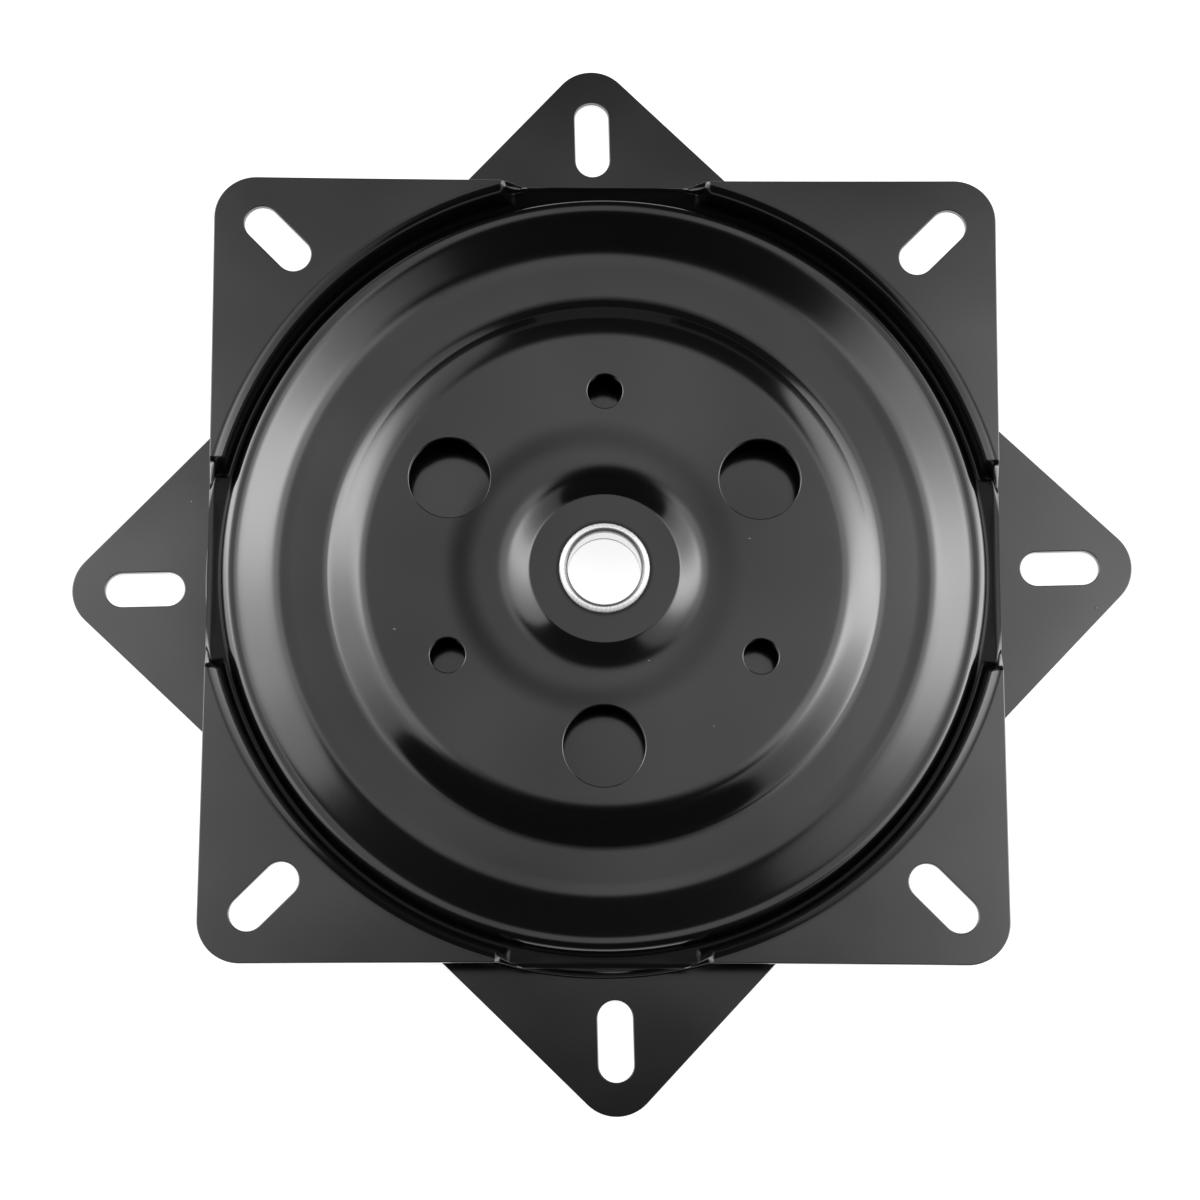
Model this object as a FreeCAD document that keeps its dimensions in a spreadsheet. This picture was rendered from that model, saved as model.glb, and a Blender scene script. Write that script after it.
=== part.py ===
import FreeCAD, Part
import Sketcher
import math
import os

# Seat swivel plate: two pressed steel plates, one turned over on the other, that turn on a ring
# of balls and are held together by a hollow rivet.
# Millimetres, +Z up. The origin is on the turning axis at the underside of the lower plate's tabs.

# Driving dimensions
SIZES = {
    # Whole object; the rest turn is from the lower plate's corners to the upper plate's
    "overall_height": 22.8,
    "sheet": 2.0,
    "rest_turn": 43.4,
    # Blank outline, slots and holes; the slots' centres are inset from the sides and the holes' from the
    # raised disc's edge
    "half_side": 90.2,
    "side_bow": 0.9,
    "corner_round": 9.5,
    "window_width": 47.0,
    "slot_inset": 15.2,
    "slot_overall": 18.4,
    "slot_width": 8.0,
    "hole_inset": 16.2,
    "access_diameter": 18.5,
    "access_count": 3.0,
    "screw_hole_diameter": 8.0,
    "screw_hole_count": 3.0,
    # Gaps between the two plates, from face to face
    "centre_gap": 5.2,
    "disc_gap": 9.2,
    "ring_gap": 2.7,
    "groove_gap": 1.1,
    # Pressed section, from the axis outwards: places of corners, inside radii of bends, slopes from level
    # and leans from upright; the disc's edge is inset from the ball centres' circle
    "boss_foot": 17.3,
    "boss_slope": 28.0,
    "boss_foot_bend": 1.5,
    "boss_brow_bend": 13.5,
    "disc_inset": 24.6,
    "disc_slope": 35.0,
    "disc_edge_bend": 4.3,
    "ring_bend": 3.5,
    "race_slope": 18.0,
    "race_foot_bend": 13.0,
    "crest_flat": 0.3,
    "crest_bend": 6.0,
    "wall_lean": 10.0,
    "wall_brow_bend": 0.3,
    "groove_flat": 0.3,
    "groove_bend": 1.0,
    "rim_lean": 3.0,
    "tab_bend": 0.6,
    # Balls, whose centres' circle is inset from the sides, and their retainer, whose widths are from it
    "ball_diameter": 7.5,
    "ball_inset": 8.6,
    "ball_clearance": 0.04,
    "ball_count": 30.0,
    "retainer_thick": 2.4,
    "retainer_inside": 6.1,
    "retainer_outside": 2.4,
    "pocket_clearance": 0.1,
    "retainer_edge": 0.4,
    # Hollow rivet and bush
    "rivet_bore": 16.8,
    "rivet_wall": 0.95,
    "rivet_rim_width": 1.9,
    "rivet_clearance": 0.05,
    "axial_play": 0.08,
    "bush_outer": 29.0,
    "bush_chamfer": 0.5,
}

# Angles of the square in degrees, and the length below which two points are one
FULL_TURN = 360
SIDE_TURN = 90
CORNER_TURN = 45
SIDES = 4
SAME_PLACE = 1e-6

doc = FreeCAD.newDocument("SeatSwivelPlate")

sheet_table = doc.addObject("Spreadsheet::Sheet", "Sizes")
for row, (name, number) in enumerate(SIZES.items(), start=1):
    sheet_table.set(f"A{row}", name)
    sheet_table.set(f"B{row}", str(number))
    sheet_table.setAlias(f"B{row}", name)
doc.recompute()


def size(name):
    """The number in a named cell."""
    return float(sheet_table.get(name))


def rad(name):
    """A named angle in radians."""
    return math.radians(size(name))


def origin_feature(body, role):
    """One of a body's own origin planes or axes."""
    for feature in body.Origin.OriginFeatures:
        if feature.Role == role:
            return feature
    raise RuntimeError("no origin feature " + role)


def new_sketch(body, label, role, turn=0.0):
    """A sketch on an origin plane of its body, turned about the plane's normal."""
    sketch = body.newObject("Sketcher::SketchObject", label)
    sketch.AttachmentSupport = (origin_feature(body, role), [""])
    sketch.MapMode = "FlatFace"
    turned = FreeCAD.Rotation(FreeCAD.Vector(0, 0, 1), turn)
    sketch.AttachmentOffset = FreeCAD.Placement(FreeCAD.Vector(0, 0, 0), turned)
    return sketch


def bind(sketch, kind, *arguments):
    """Add a constraint whose datum follows an expression, given last, after its first guess."""
    *places, guess, expression = arguments
    index = sketch.addConstraint(Sketcher.Constraint(kind, *places, guess))
    sketch.setExpression(f"Constraints[{index}]", expression)
    return index


def vec(x, y):
    return FreeCAD.Vector(x, y, 0)


# Places that follow the square, each with the same place as an expression

def ball_place():
    """Radius of the ball centres' circle."""
    return size("half_side") - size("ball_inset")


def disc_edge():
    """Radius of the raised disc's edge."""
    return ball_place() - size("disc_inset")


def hole_place():
    """Radius of the circle of both kinds of hole."""
    return disc_edge() - size("hole_inset")


def slot_place():
    """From the turning axis to the middle of a slot."""
    return (size("half_side") - size("slot_inset")) * math.sqrt(2)


BALL_PLACE = "(Sizes.half_side - Sizes.ball_inset)"
DISC_EDGE = f"({BALL_PLACE} - Sizes.disc_inset)"
HOLE_PLACE = f"({DISC_EDGE} - Sizes.hole_inset)"
SLOT_PLACE = "((Sizes.half_side - Sizes.slot_inset) * sqrt(2))"


# Section of the pressed sheet

def upright_slope(lean):
    """The slope from level, in radians, of a wall with a named lean from upright."""
    return math.pi / 2 - rad(lean)


def ball_reach():
    """From a ball's centre to the far face of the sheet that it runs on."""
    return size("ball_diameter") / 2 + size("ball_clearance") + size("sheet")


def wall_radius(height):
    """Where the far face of the wall outside the balls passes a height."""
    wall = upright_slope("wall_lean")
    return ball_place() + ball_reach() / math.sin(wall) - height / math.tan(wall)


def race_radius(height):
    """Where the far face of the race slope passes a height."""
    race = rad("race_slope")
    return ball_place() + (height - ball_reach() / math.cos(race)) / math.tan(race)


def groove_height():
    """Height of the groove's upper face."""
    return size("groove_gap") / 2 + size("sheet")


def window_radius():
    """The middle of the groove's flat, where the floor of a side window begins."""
    bend = size("groove_bend") * math.tan(upright_slope("wall_lean") / 2)
    return wall_radius(groove_height()) + bend + size("groove_flat") / 2


def crest_height():
    """Height of the crest's flat, where the race slope and the wall leave it its set length."""
    reach = ball_reach()
    centre = ball_place()
    race = rad("race_slope")
    wall = upright_slope("wall_lean")
    race_at_centre = reach / math.cos(race)
    wall_at_centre = centre + reach / math.sin(wall)
    race_run = (size("crest_bend") + size("sheet")) * math.tan(race / 2)
    wall_run = (size("wall_brow_bend") + size("sheet")) * math.tan(wall / 2)
    wanted = size("crest_flat") + race_run + wall_run
    # wall_at_centre - height / tan(wall) - (centre + (height - race_at_centre) / tan(race)) = wanted
    spare = wall_at_centre - centre + race_at_centre / math.tan(race) - wanted
    return spare / (1 / math.tan(wall) + 1 / math.tan(race))


def top_corners():
    """Corners of the upper face's section before its bends are rounded, in the order of the runs."""
    sheet = size("sheet")
    floor = size("centre_gap") / 2 + sheet
    disc = size("disc_gap") / 2 + sheet
    ring = size("ring_gap") / 2 + sheet
    groove = groove_height()
    tab = size("overall_height") / 2
    crest = crest_height()
    boss_brow = size("boss_foot") + (disc - floor) / math.tan(rad("boss_slope"))
    ring_inner = disc_edge() + (disc - ring) / math.tan(rad("disc_slope"))
    rim_slope = upright_slope("rim_lean")
    rim_bend = size("groove_bend") * math.tan(rim_slope / 2)
    rim = window_radius() + size("groove_flat") / 2 + rim_bend
    return [
        (rivet_hole_radius(), floor),
        (size("boss_foot"), floor),
        (boss_brow, disc),
        (disc_edge(), disc),
        (ring_inner, ring),
        (race_radius(ring), ring),
        (race_radius(crest), crest),
        (wall_radius(crest), crest),
        (wall_radius(groove), groove),
        (rim, groove),
        (rim + (tab - groove) / math.tan(rim_slope), tab),
        (blank_radius(), tab),
    ]


def rivet_hole_radius():
    return size("rivet_bore") / 2 + size("rivet_wall") + size("rivet_clearance")


def blank_radius():
    """A radius just beyond the sharp corners of the square."""
    return size("half_side") * math.sqrt(2) + size("sheet")


RIVET_HOLE = "Sizes.rivet_bore / 2 + Sizes.rivet_wall + Sizes.rivet_clearance"
BLANK = "Sizes.half_side * sqrt(2) + Sizes.sheet"
BALL_REACH = "Sizes.ball_diameter / 2 + Sizes.ball_clearance + Sizes.sheet"
GROOVE_HEIGHT = "Sizes.groove_gap / 2 + Sizes.sheet"
WINDOW_INNER = (f"{BALL_PLACE} + ({BALL_REACH}) / cos(Sizes.wall_lean * 1 deg)"
                f" - ({GROOVE_HEIGHT}) * tan(Sizes.wall_lean * 1 deg)"
                " + Sizes.groove_bend * tan((45 - Sizes.wall_lean / 2) * 1 deg)"
                " + Sizes.groove_flat / 2")
BENDS = ["boss_foot_bend", "boss_brow_bend", "disc_edge_bend", "ring_bend", "race_foot_bend",
         "crest_bend", "wall_brow_bend", "groove_bend", "groove_bend", "tab_bend"]


def unit(start, end):
    run = (end - start)
    return run.normalize()


def bent_line(corners, turns, radii):
    """Straight runs and tangent arcs along a line of corners: (lines, arcs) as sketch geometry."""
    points = [vec(*corner) for corner in corners]
    ends = [points[0]]
    arcs = []
    for index in range(1, len(points) - 1):
        before = unit(points[index - 1], points[index])
        after = unit(points[index], points[index + 1])
        half = before.getAngle(after) / 2
        run = radii[index - 1] * math.tan(half)
        start = points[index] - before * run
        end = points[index] + after * run
        left = turns[index - 1]
        side = vec(-before.y, before.x) * (1 if left else -1)
        centre = start + side * radii[index - 1]
        first = math.atan2(start.y - centre.y, start.x - centre.x)
        last = math.atan2(end.y - centre.y, end.x - centre.x)
        if not left:
            first, last = last, first
        circle = Part.Circle(centre, FreeCAD.Vector(0, 0, 1), radii[index - 1])
        arcs.append(Part.ArcOfCircle(circle, first, last))
        ends.extend([start, end])
    ends.append(points[-1])
    lines = [Part.LineSegment(ends[i], ends[i + 1]) for i in range(0, len(ends), 2)]
    return lines, arcs


def offset_corners(corners, distance):
    """The same corners for a line at a distance below the first one."""
    points = [vec(*corner) for corner in corners]
    moved = [(points[0].x, points[0].y - distance)]
    for index in range(1, len(points) - 1):
        before = unit(points[index - 1], points[index])
        after = unit(points[index], points[index + 1])
        normal_before = vec(before.y, -before.x)
        normal_after = vec(after.y, -after.x)
        middle = (normal_before + normal_after).normalize()
        corner = points[index] + middle * (distance / middle.dot(normal_before))
        moved.append((corner.x, corner.y))
    moved.append((points[-1].x, points[-1].y - distance))
    return moved


def add_bent_line(sketch, lines, arcs, turns):
    """Add the runs and arcs, joined by tangency; returns their indices."""
    line_ids = [sketch.addGeometry(line, False) for line in lines]
    arc_ids = [sketch.addGeometry(arc, False) for arc in arcs]
    for index, arc in enumerate(arc_ids):
        first, last = (1, 2) if turns[index] else (2, 1)
        sketch.addConstraint(Sketcher.Constraint("Tangent", line_ids[index], 2, arc, first))
        sketch.addConstraint(Sketcher.Constraint("Tangent", arc, last, line_ids[index + 1], 1))
    return line_ids, arc_ids


def corner_point(sketch, first_line, second_line, place):
    """A construction point where two runs would meet."""
    point = sketch.addGeometry(Part.Point(vec(*place)), True)
    sketch.addConstraint(Sketcher.Constraint("PointOnObject", point, 1, first_line))
    sketch.addConstraint(Sketcher.Constraint("PointOnObject", point, 1, second_line))
    return point


def draw_section(sketch):
    """The closed section of the pressed sheet, from the rivet hole to beyond the corners."""
    corners = top_corners()
    under_corners = offset_corners(corners, size("sheet"))
    turns = []
    for index in range(1, len(corners) - 1):
        before = unit(vec(*corners[index - 1]), vec(*corners[index]))
        after = unit(vec(*corners[index]), vec(*corners[index + 1]))
        turns.append(before.x * after.y - before.y * after.x > 0)
    inner = [size(name) for name in BENDS]
    outer = [radius + size("sheet") for radius in inner]
    top_radii = [inner[i] if left else outer[i] for i, left in enumerate(turns)]
    under_radii = [outer[i] if left else inner[i] for i, left in enumerate(turns)]

    top_lines, top_arcs = bent_line(corners, turns, top_radii)
    under_lines, under_arcs = bent_line(under_corners, turns, under_radii)
    top, top_bends = add_bent_line(sketch, top_lines, top_arcs, turns)
    under, under_bends = add_bent_line(sketch, under_lines, under_arcs, turns)

    # Bend radii: the inside one is named, and the outside one adds the sheet.
    for index, name in enumerate(BENDS):
        left = turns[index]
        inside = f"Sizes.{name}"
        outside = f"Sizes.{name} + Sizes.sheet"
        bind(sketch, "Radius", top_bends[index], top_radii[index], inside if left else outside)
        bind(sketch, "Radius", under_bends[index], under_radii[index], outside if left else inside)
        sketch.addConstraint(Sketcher.Constraint("Coincident", top_bends[index], 3, under_bends[index], 3))

    # Level runs
    for index in range(0, len(top), 2):
        sketch.addConstraint(Sketcher.Constraint("Horizontal", top[index]))
    levels = {0: "centre_gap", 2: "disc_gap", 4: "ring_gap", 8: "groove_gap"}
    for index, name in levels.items():
        bind(sketch, "DistanceY", -1, 1, top[index], 1, corners[index][1],
             f"Sizes.{name} / 2 + Sizes.sheet")
    bind(sketch, "DistanceY", -1, 1, top[10], 2, corners[11][1], "Sizes.overall_height / 2")
    bind(sketch, "Distance", top[6], size("crest_flat"), "Sizes.crest_flat")

    # Slopes, up or down going outwards
    slopes = {
        1: (rad("boss_slope"), "Sizes.boss_slope * 1 deg"),
        3: (-rad("disc_slope"), "-Sizes.disc_slope * 1 deg"),
        5: (rad("race_slope"), "Sizes.race_slope * 1 deg"),
        7: (-upright_slope("wall_lean"), "(Sizes.wall_lean - 90) * 1 deg"),
        9: (upright_slope("rim_lean"), "(90 - Sizes.rim_lean) * 1 deg"),
    }
    for index, (slope, expression) in slopes.items():
        bind(sketch, "Angle", top[index], slope, expression)

    # Places of the slopes
    boss_foot = corner_point(sketch, top[0], top[1], corners[1])
    bind(sketch, "DistanceX", -1, 1, boss_foot, 1, corners[1][0], "Sizes.boss_foot")
    disc_brow = corner_point(sketch, top[2], top[3], corners[3])
    bind(sketch, "DistanceX", -1, 1, disc_brow, 1, corners[3][0], DISC_EDGE)
    bind(sketch, "Distance", top[8], size("groove_flat"), "Sizes.groove_flat")

    # The race slope and the wall both clear the ball, whose centre lies between the plates.
    ball = sketch.addGeometry(Part.Point(vec(ball_place(), 0)), True)
    sketch.addConstraint(Sketcher.Constraint("PointOnObject", ball, 1, -1))
    bind(sketch, "DistanceX", -1, 1, ball, 1, ball_place(), BALL_PLACE)
    for run in (5, 7):
        bind(sketch, "Distance", ball, 1, top[run], ball_reach(), BALL_REACH)

    # Ends: the rivet hole and the blank's edge
    bind(sketch, "DistanceX", -1, 1, top[0], 1, rivet_hole_radius(), RIVET_HOLE)
    bind(sketch, "DistanceX", -1, 1, top[10], 2, blank_radius(), BLANK)
    sketch.addConstraint(Sketcher.Constraint("Horizontal", under[0]))
    sketch.addConstraint(Sketcher.Constraint("Horizontal", under[10]))
    for end, place in ((0, 1), (10, 2)):
        first = vec(*under_corners[0 if end == 0 else -1])
        last = vec(*corners[0 if end == 0 else -1])
        edge = sketch.addGeometry(Part.LineSegment(first, last), False)
        sketch.addConstraint(Sketcher.Constraint("Coincident", edge, 1, under[end], place))
        sketch.addConstraint(Sketcher.Constraint("Coincident", edge, 2, top[end], place))
        sketch.addConstraint(Sketcher.Constraint("Vertical", edge))


def polar_pattern(body, feature, count):
    """Repeat a feature round the axis, as often as a number or a named count says."""
    pattern = body.newObject("PartDesign::PolarPattern", feature.Name + "_pattern")
    pattern.Originals = [feature]
    pattern.Axis = (origin_feature(body, "Z_Axis"), [""])
    pattern.Angle = FULL_TURN
    if isinstance(count, str):
        pattern.setExpression("Occurrences", f"Sizes.{count}")
    else:
        pattern.Occurrences = count
    body.Tip = pattern
    doc.recompute()
    return pattern


# Windows in the wall round the groove, at the middles of the sides

def draw_window(sketch):
    """The floor of one window: from the groove's flat out to the square's straight side."""
    inner = window_radius()
    half = size("window_width") / 2
    far = size("half_side")
    foot = math.sqrt(inner ** 2 - half ** 2)
    start = math.atan2(foot, half)
    end = math.atan2(foot, -half)
    circle = Part.Circle(vec(0, 0), FreeCAD.Vector(0, 0, 1), inner)
    arc = sketch.addGeometry(Part.ArcOfCircle(circle, start, end), False)
    left = sketch.addGeometry(Part.LineSegment(vec(-half, foot), vec(-half, far)), False)
    top = sketch.addGeometry(Part.LineSegment(vec(-half, far), vec(half, far)), False)
    right = sketch.addGeometry(Part.LineSegment(vec(half, far), vec(half, foot)), False)
    joins = ((arc, 2, left, 1), (left, 2, top, 1), (top, 2, right, 1), (right, 2, arc, 1))
    for join in joins:
        sketch.addConstraint(Sketcher.Constraint("Coincident", *join))
    sketch.addConstraint(Sketcher.Constraint("Coincident", arc, 3, -1, 1))
    sketch.addConstraint(Sketcher.Constraint("Vertical", left))
    sketch.addConstraint(Sketcher.Constraint("Vertical", right))
    sketch.addConstraint(Sketcher.Constraint("Horizontal", top))
    bind(sketch, "Radius", arc, inner, WINDOW_INNER)
    bind(sketch, "DistanceX", -1, 1, top, 2, half, "Sizes.window_width / 2")
    bind(sketch, "DistanceX", top, 1, -1, 1, half, "Sizes.window_width / 2")
    bind(sketch, "DistanceY", -1, 1, top, 2, far, "Sizes.half_side")


def open_windows(body, label):
    """Take the wall and tab away over each window; returns the sketch of one window's floor."""
    before = body.Shape.Volume
    sketch = new_sketch(body, label + "_window", "XY_Plane")
    sketch.setExpression("AttachmentOffset.Base.z", GROOVE_HEIGHT)
    draw_window(sketch)
    doc.recompute()
    opening = body.newObject("PartDesign::Pocket", label + "_window_opening")
    opening.Profile = sketch
    opening.Type = "ThroughAll"
    opening.Reversed = True
    sketch.Visibility = False
    doc.recompute()
    polar_pattern(body, opening, SIDES)
    if body.Shape.Volume >= before:
        raise RuntimeError(label + " has no windows")
    return sketch


def lay_floors(body, label, sketch):
    """Lay the groove's floor under each window, out to the straight side."""
    floor = body.newObject("PartDesign::Pad", label + "_window_floor")
    floor.Profile = sketch
    floor.Reversed = True
    floor.setExpression("Length", "Sizes.sheet")
    doc.recompute()
    return polar_pattern(body, floor, SIDES)


# Outline of the square

def draw_side_trim(sketch):
    """What is cut away beyond one side, up to a shallow arc that bows towards the axis."""
    half = size("half_side")
    bow = size("side_bow")
    far = blank_radius() + size("corner_round")
    corner = math.sqrt(2) * half
    radius = (corner ** 2 + bow ** 2) / (2 * bow)
    rise = math.sqrt(radius ** 2 - far ** 2)
    # The bow's arc runs past both corners, so that the next side's cut crosses it.
    centre_y = half - bow + radius
    side_end = centre_y - rise
    start = math.atan2(side_end - centre_y, -far)
    end = math.atan2(side_end - centre_y, far)
    arc = Part.ArcOfCircle(Part.Circle(vec(0, centre_y), FreeCAD.Vector(0, 0, 1), radius), start, end)
    bow_arc = sketch.addGeometry(arc, False)
    right = sketch.addGeometry(Part.LineSegment(vec(far, side_end), vec(far, far)), False)
    top = sketch.addGeometry(Part.LineSegment(vec(far, far), vec(-far, far)), False)
    left = sketch.addGeometry(Part.LineSegment(vec(-far, far), vec(-far, side_end)), False)
    joins = ((bow_arc, 2, right, 1), (right, 2, top, 1), (top, 2, left, 1), (left, 2, bow_arc, 1))
    for join in joins:
        sketch.addConstraint(Sketcher.Constraint("Coincident", *join))
    sketch.addConstraint(Sketcher.Constraint("Vertical", right))
    sketch.addConstraint(Sketcher.Constraint("Vertical", left))
    sketch.addConstraint(Sketcher.Constraint("Horizontal", top))
    sketch.addConstraint(Sketcher.Constraint("PointOnObject", bow_arc, 3, -2))
    reach = f"{BLANK} + Sizes.corner_round"
    bind(sketch, "DistanceX", -1, 1, top, 1, far, reach)
    bind(sketch, "DistanceY", -1, 1, top, 1, far, reach)
    bind(sketch, "DistanceX", top, 2, -1, 1, far, reach)
    bow_radius = "(2 * Sizes.half_side ^ 2 + Sizes.side_bow ^ 2) / (2 * Sizes.side_bow)"
    bind(sketch, "Radius", bow_arc, radius, bow_radius)
    bind(sketch, "DistanceY", -1, 1, bow_arc, 3, centre_y,
         f"Sizes.half_side - Sizes.side_bow + {bow_radius}")


def draw_slot(sketch):
    """One slot on the sketch's X axis, at a corner's distance from the turning axis."""
    radius = size("slot_width") / 2
    half = size("slot_overall") / 2 - radius
    middle = slot_place()
    up = FreeCAD.Vector(0, 0, 1)
    quarter = math.pi / 2
    outer = sketch.addGeometry(
        Part.ArcOfCircle(Part.Circle(vec(middle + half, 0), up, radius), -quarter, quarter), False)
    inner = sketch.addGeometry(
        Part.ArcOfCircle(Part.Circle(vec(middle - half, 0), up, radius), quarter, 3 * quarter), False)
    upper = sketch.addGeometry(
        Part.LineSegment(vec(middle + half, radius), vec(middle - half, radius)), False)
    lower = sketch.addGeometry(
        Part.LineSegment(vec(middle - half, -radius), vec(middle + half, -radius)), False)
    joins = ((outer, 2, upper, 1), (upper, 2, inner, 1), (inner, 2, lower, 1), (lower, 2, outer, 1))
    for join in joins:
        sketch.addConstraint(Sketcher.Constraint("Tangent", *join))
    sketch.addConstraint(Sketcher.Constraint("Equal", outer, inner))
    sketch.addConstraint(Sketcher.Constraint("PointOnObject", outer, 3, -1))
    sketch.addConstraint(Sketcher.Constraint("PointOnObject", inner, 3, -1))
    bind(sketch, "Radius", outer, radius, "Sizes.slot_width / 2")
    run = "(Sizes.slot_overall - Sizes.slot_width) / 2"
    bind(sketch, "DistanceX", -1, 1, outer, 3, middle + half, f"{SLOT_PLACE} + {run}")
    bind(sketch, "DistanceX", -1, 1, inner, 3, middle - half, f"{SLOT_PLACE} - {run}")


def draw_round_hole(sketch, diameter):
    """One round hole on the sketch's X axis."""
    centre = hole_place()
    radius = size(diameter) / 2
    hole = sketch.addGeometry(
        Part.Circle(vec(centre, 0), FreeCAD.Vector(0, 0, 1), radius), False)
    sketch.addConstraint(Sketcher.Constraint("PointOnObject", hole, 3, -1))
    bind(sketch, "DistanceX", -1, 1, hole, 3, centre, HOLE_PLACE)
    bind(sketch, "Radius", hole, radius, f"Sizes.{diameter} / 2")


def pocket_pattern(body, label, sketch, count):
    """Cut a sketch right through the body, both ways, and repeat it round the axis."""
    before = body.Shape.Volume
    pocket = body.newObject("PartDesign::Pocket", label)
    pocket.Profile = sketch
    pocket.Type = "ThroughAll"
    pocket.Midplane = True
    sketch.Visibility = False
    doc.recompute()
    if body.Shape.Volume >= before:
        raise RuntimeError(label + " cuts nothing")
    polar_pattern(body, pocket, count)


def pressed_plate(label, with_holes):
    """One pressing in its own frame: the plane between the plates is Z = 0 and its tabs are up."""
    body = doc.addObject("PartDesign::Body", label)
    body.Label = label
    section = new_sketch(body, label + "_section", "XZ_Plane")
    draw_section(section)
    doc.recompute()
    blank = body.newObject("PartDesign::Revolution", label + "_pressing")
    blank.Profile = section
    blank.ReferenceAxis = (section, ["V_Axis"])
    blank.Angle = FULL_TURN
    doc.recompute()

    window = open_windows(body, label)
    side = new_sketch(body, label + "_side", "XY_Plane")
    draw_side_trim(side)
    pocket_pattern(body, label + "_sides", side, SIDES)
    square = lay_floors(body, label, window)

    # The square's four upright corner edges are rounded.
    sharp = size("half_side") * math.sqrt(2) - size("side_bow")
    names = []
    for number, edge in enumerate(square.Shape.Edges, start=1):
        first = edge.Vertexes[0].Point
        last = edge.Vertexes[-1].Point
        upright = math.hypot(first.x - last.x, first.y - last.y) < SAME_PLACE and first != last
        if upright and math.hypot(first.x, first.y) > sharp:
            names.append(f"Edge{number}")
    rounded = body.newObject("PartDesign::Fillet", label + "_corners")
    rounded.Base = (square, names)
    rounded.setExpression("Radius", "Sizes.corner_round")
    body.Tip = rounded
    doc.recompute()

    slot = new_sketch(body, label + "_slot", "XY_Plane", turn=CORNER_TURN)
    draw_slot(slot)
    pocket_pattern(body, label + "_slots", slot, SIDES)
    if with_holes:
        # One large hole lies towards -Y and one small hole towards +Y.
        access = new_sketch(body, label + "_access", "XY_Plane", turn=-SIDE_TURN)
        draw_round_hole(access, "access_diameter")
        pocket_pattern(body, label + "_access_holes", access, "access_count")
        screw = new_sketch(body, label + "_screw", "XY_Plane", turn=SIDE_TURN)
        draw_round_hole(screw, "screw_hole_diameter")
        pocket_pattern(body, label + "_screw_holes", screw, "screw_hole_count")
    return body


# Hollow rivet

def rivet_height():
    """Height of the rivet's shoulders above the plane between the plates."""
    return size("centre_gap") / 2 + size("sheet") + size("axial_play")


def draw_rivet(sketch):
    """Half section of the rivet: a tube with a rolled, half-round rim at both ends."""
    bore = size("rivet_bore") / 2
    barrel = bore + size("rivet_wall")
    rim = bore + size("rivet_rim_width")
    bead = size("rivet_rim_width") / 2
    middle = bore + bead
    # The upper shoulder clears the plate that turns, and the lower one grips the plate it is set in.
    upper = rivet_height()
    lower = -(size("centre_gap") / 2 + size("sheet"))
    up = FreeCAD.Vector(0, 0, 1)

    def line(start, end):
        return sketch.addGeometry(Part.LineSegment(vec(*start), vec(*end)), False)

    inside = line((bore, lower), (bore, upper))
    top_rim = sketch.addGeometry(
        Part.ArcOfCircle(Part.Circle(vec(middle, upper), up, bead), 0, math.pi), False)
    top_shoulder = line((rim, upper), (barrel, upper))
    outside = line((barrel, upper), (barrel, lower))
    low_shoulder = line((barrel, lower), (rim, lower))
    low_rim = sketch.addGeometry(
        Part.ArcOfCircle(Part.Circle(vec(middle, lower), up, bead), math.pi, 2 * math.pi), False)
    for join in ((inside, 2, top_rim, 2), (low_rim, 1, inside, 1)):
        sketch.addConstraint(Sketcher.Constraint("Tangent", *join))
    for join in ((top_rim, 1, top_shoulder, 1), (top_shoulder, 2, outside, 1),
                 (outside, 2, low_shoulder, 1), (low_shoulder, 2, low_rim, 2)):
        sketch.addConstraint(Sketcher.Constraint("Coincident", *join))
    sketch.addConstraint(Sketcher.Constraint("Vertical", inside))
    sketch.addConstraint(Sketcher.Constraint("Vertical", outside))
    sketch.addConstraint(Sketcher.Constraint("Horizontal", top_shoulder))
    sketch.addConstraint(Sketcher.Constraint("Horizontal", low_shoulder))
    bead_radius = "Sizes.rivet_rim_width / 2"
    bind(sketch, "Radius", top_rim, bead, bead_radius)
    bind(sketch, "Radius", low_rim, bead, bead_radius)
    bind(sketch, "DistanceX", -1, 1, inside, 1, bore, "Sizes.rivet_bore / 2")
    bind(sketch, "DistanceX", -1, 1, outside, 1, barrel, "Sizes.rivet_bore / 2 + Sizes.rivet_wall")
    shoulder = "Sizes.centre_gap / 2 + Sizes.sheet"
    bind(sketch, "DistanceY", -1, 1, top_rim, 3, upper, f"{shoulder} + Sizes.axial_play")
    bind(sketch, "DistanceY", low_rim, 3, -1, 1, -lower, shoulder)
    # Each rim is a full half round, so its outer end is level with its centre.
    sketch.addConstraint(Sketcher.Constraint("Horizontal", top_rim, 1, top_rim, 3))
    sketch.addConstraint(Sketcher.Constraint("Horizontal", low_rim, 2, low_rim, 3))


def hollow_rivet():
    body = doc.addObject("PartDesign::Body", "hollow_rivet")
    body.Label = "hollow_rivet"
    section = new_sketch(body, "rivet_section", "XZ_Plane")
    draw_rivet(section)
    doc.recompute()
    turned = body.newObject("PartDesign::Revolution", "rivet_turned")
    turned.Profile = section
    turned.ReferenceAxis = (section, ["V_Axis"])
    turned.Angle = FULL_TURN
    doc.recompute()
    return body


# Rings

def draw_ring(sketch, inner, inner_expression, outer, outer_expression):
    """Two circles about the axis."""
    up = FreeCAD.Vector(0, 0, 1)
    for radius, expression in ((inner, inner_expression), (outer, outer_expression)):
        circle = sketch.addGeometry(Part.Circle(vec(0, 0), up, radius), False)
        sketch.addConstraint(Sketcher.Constraint("Coincident", circle, 3, -1, 1))
        bind(sketch, "Radius", circle, radius, expression)


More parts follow.
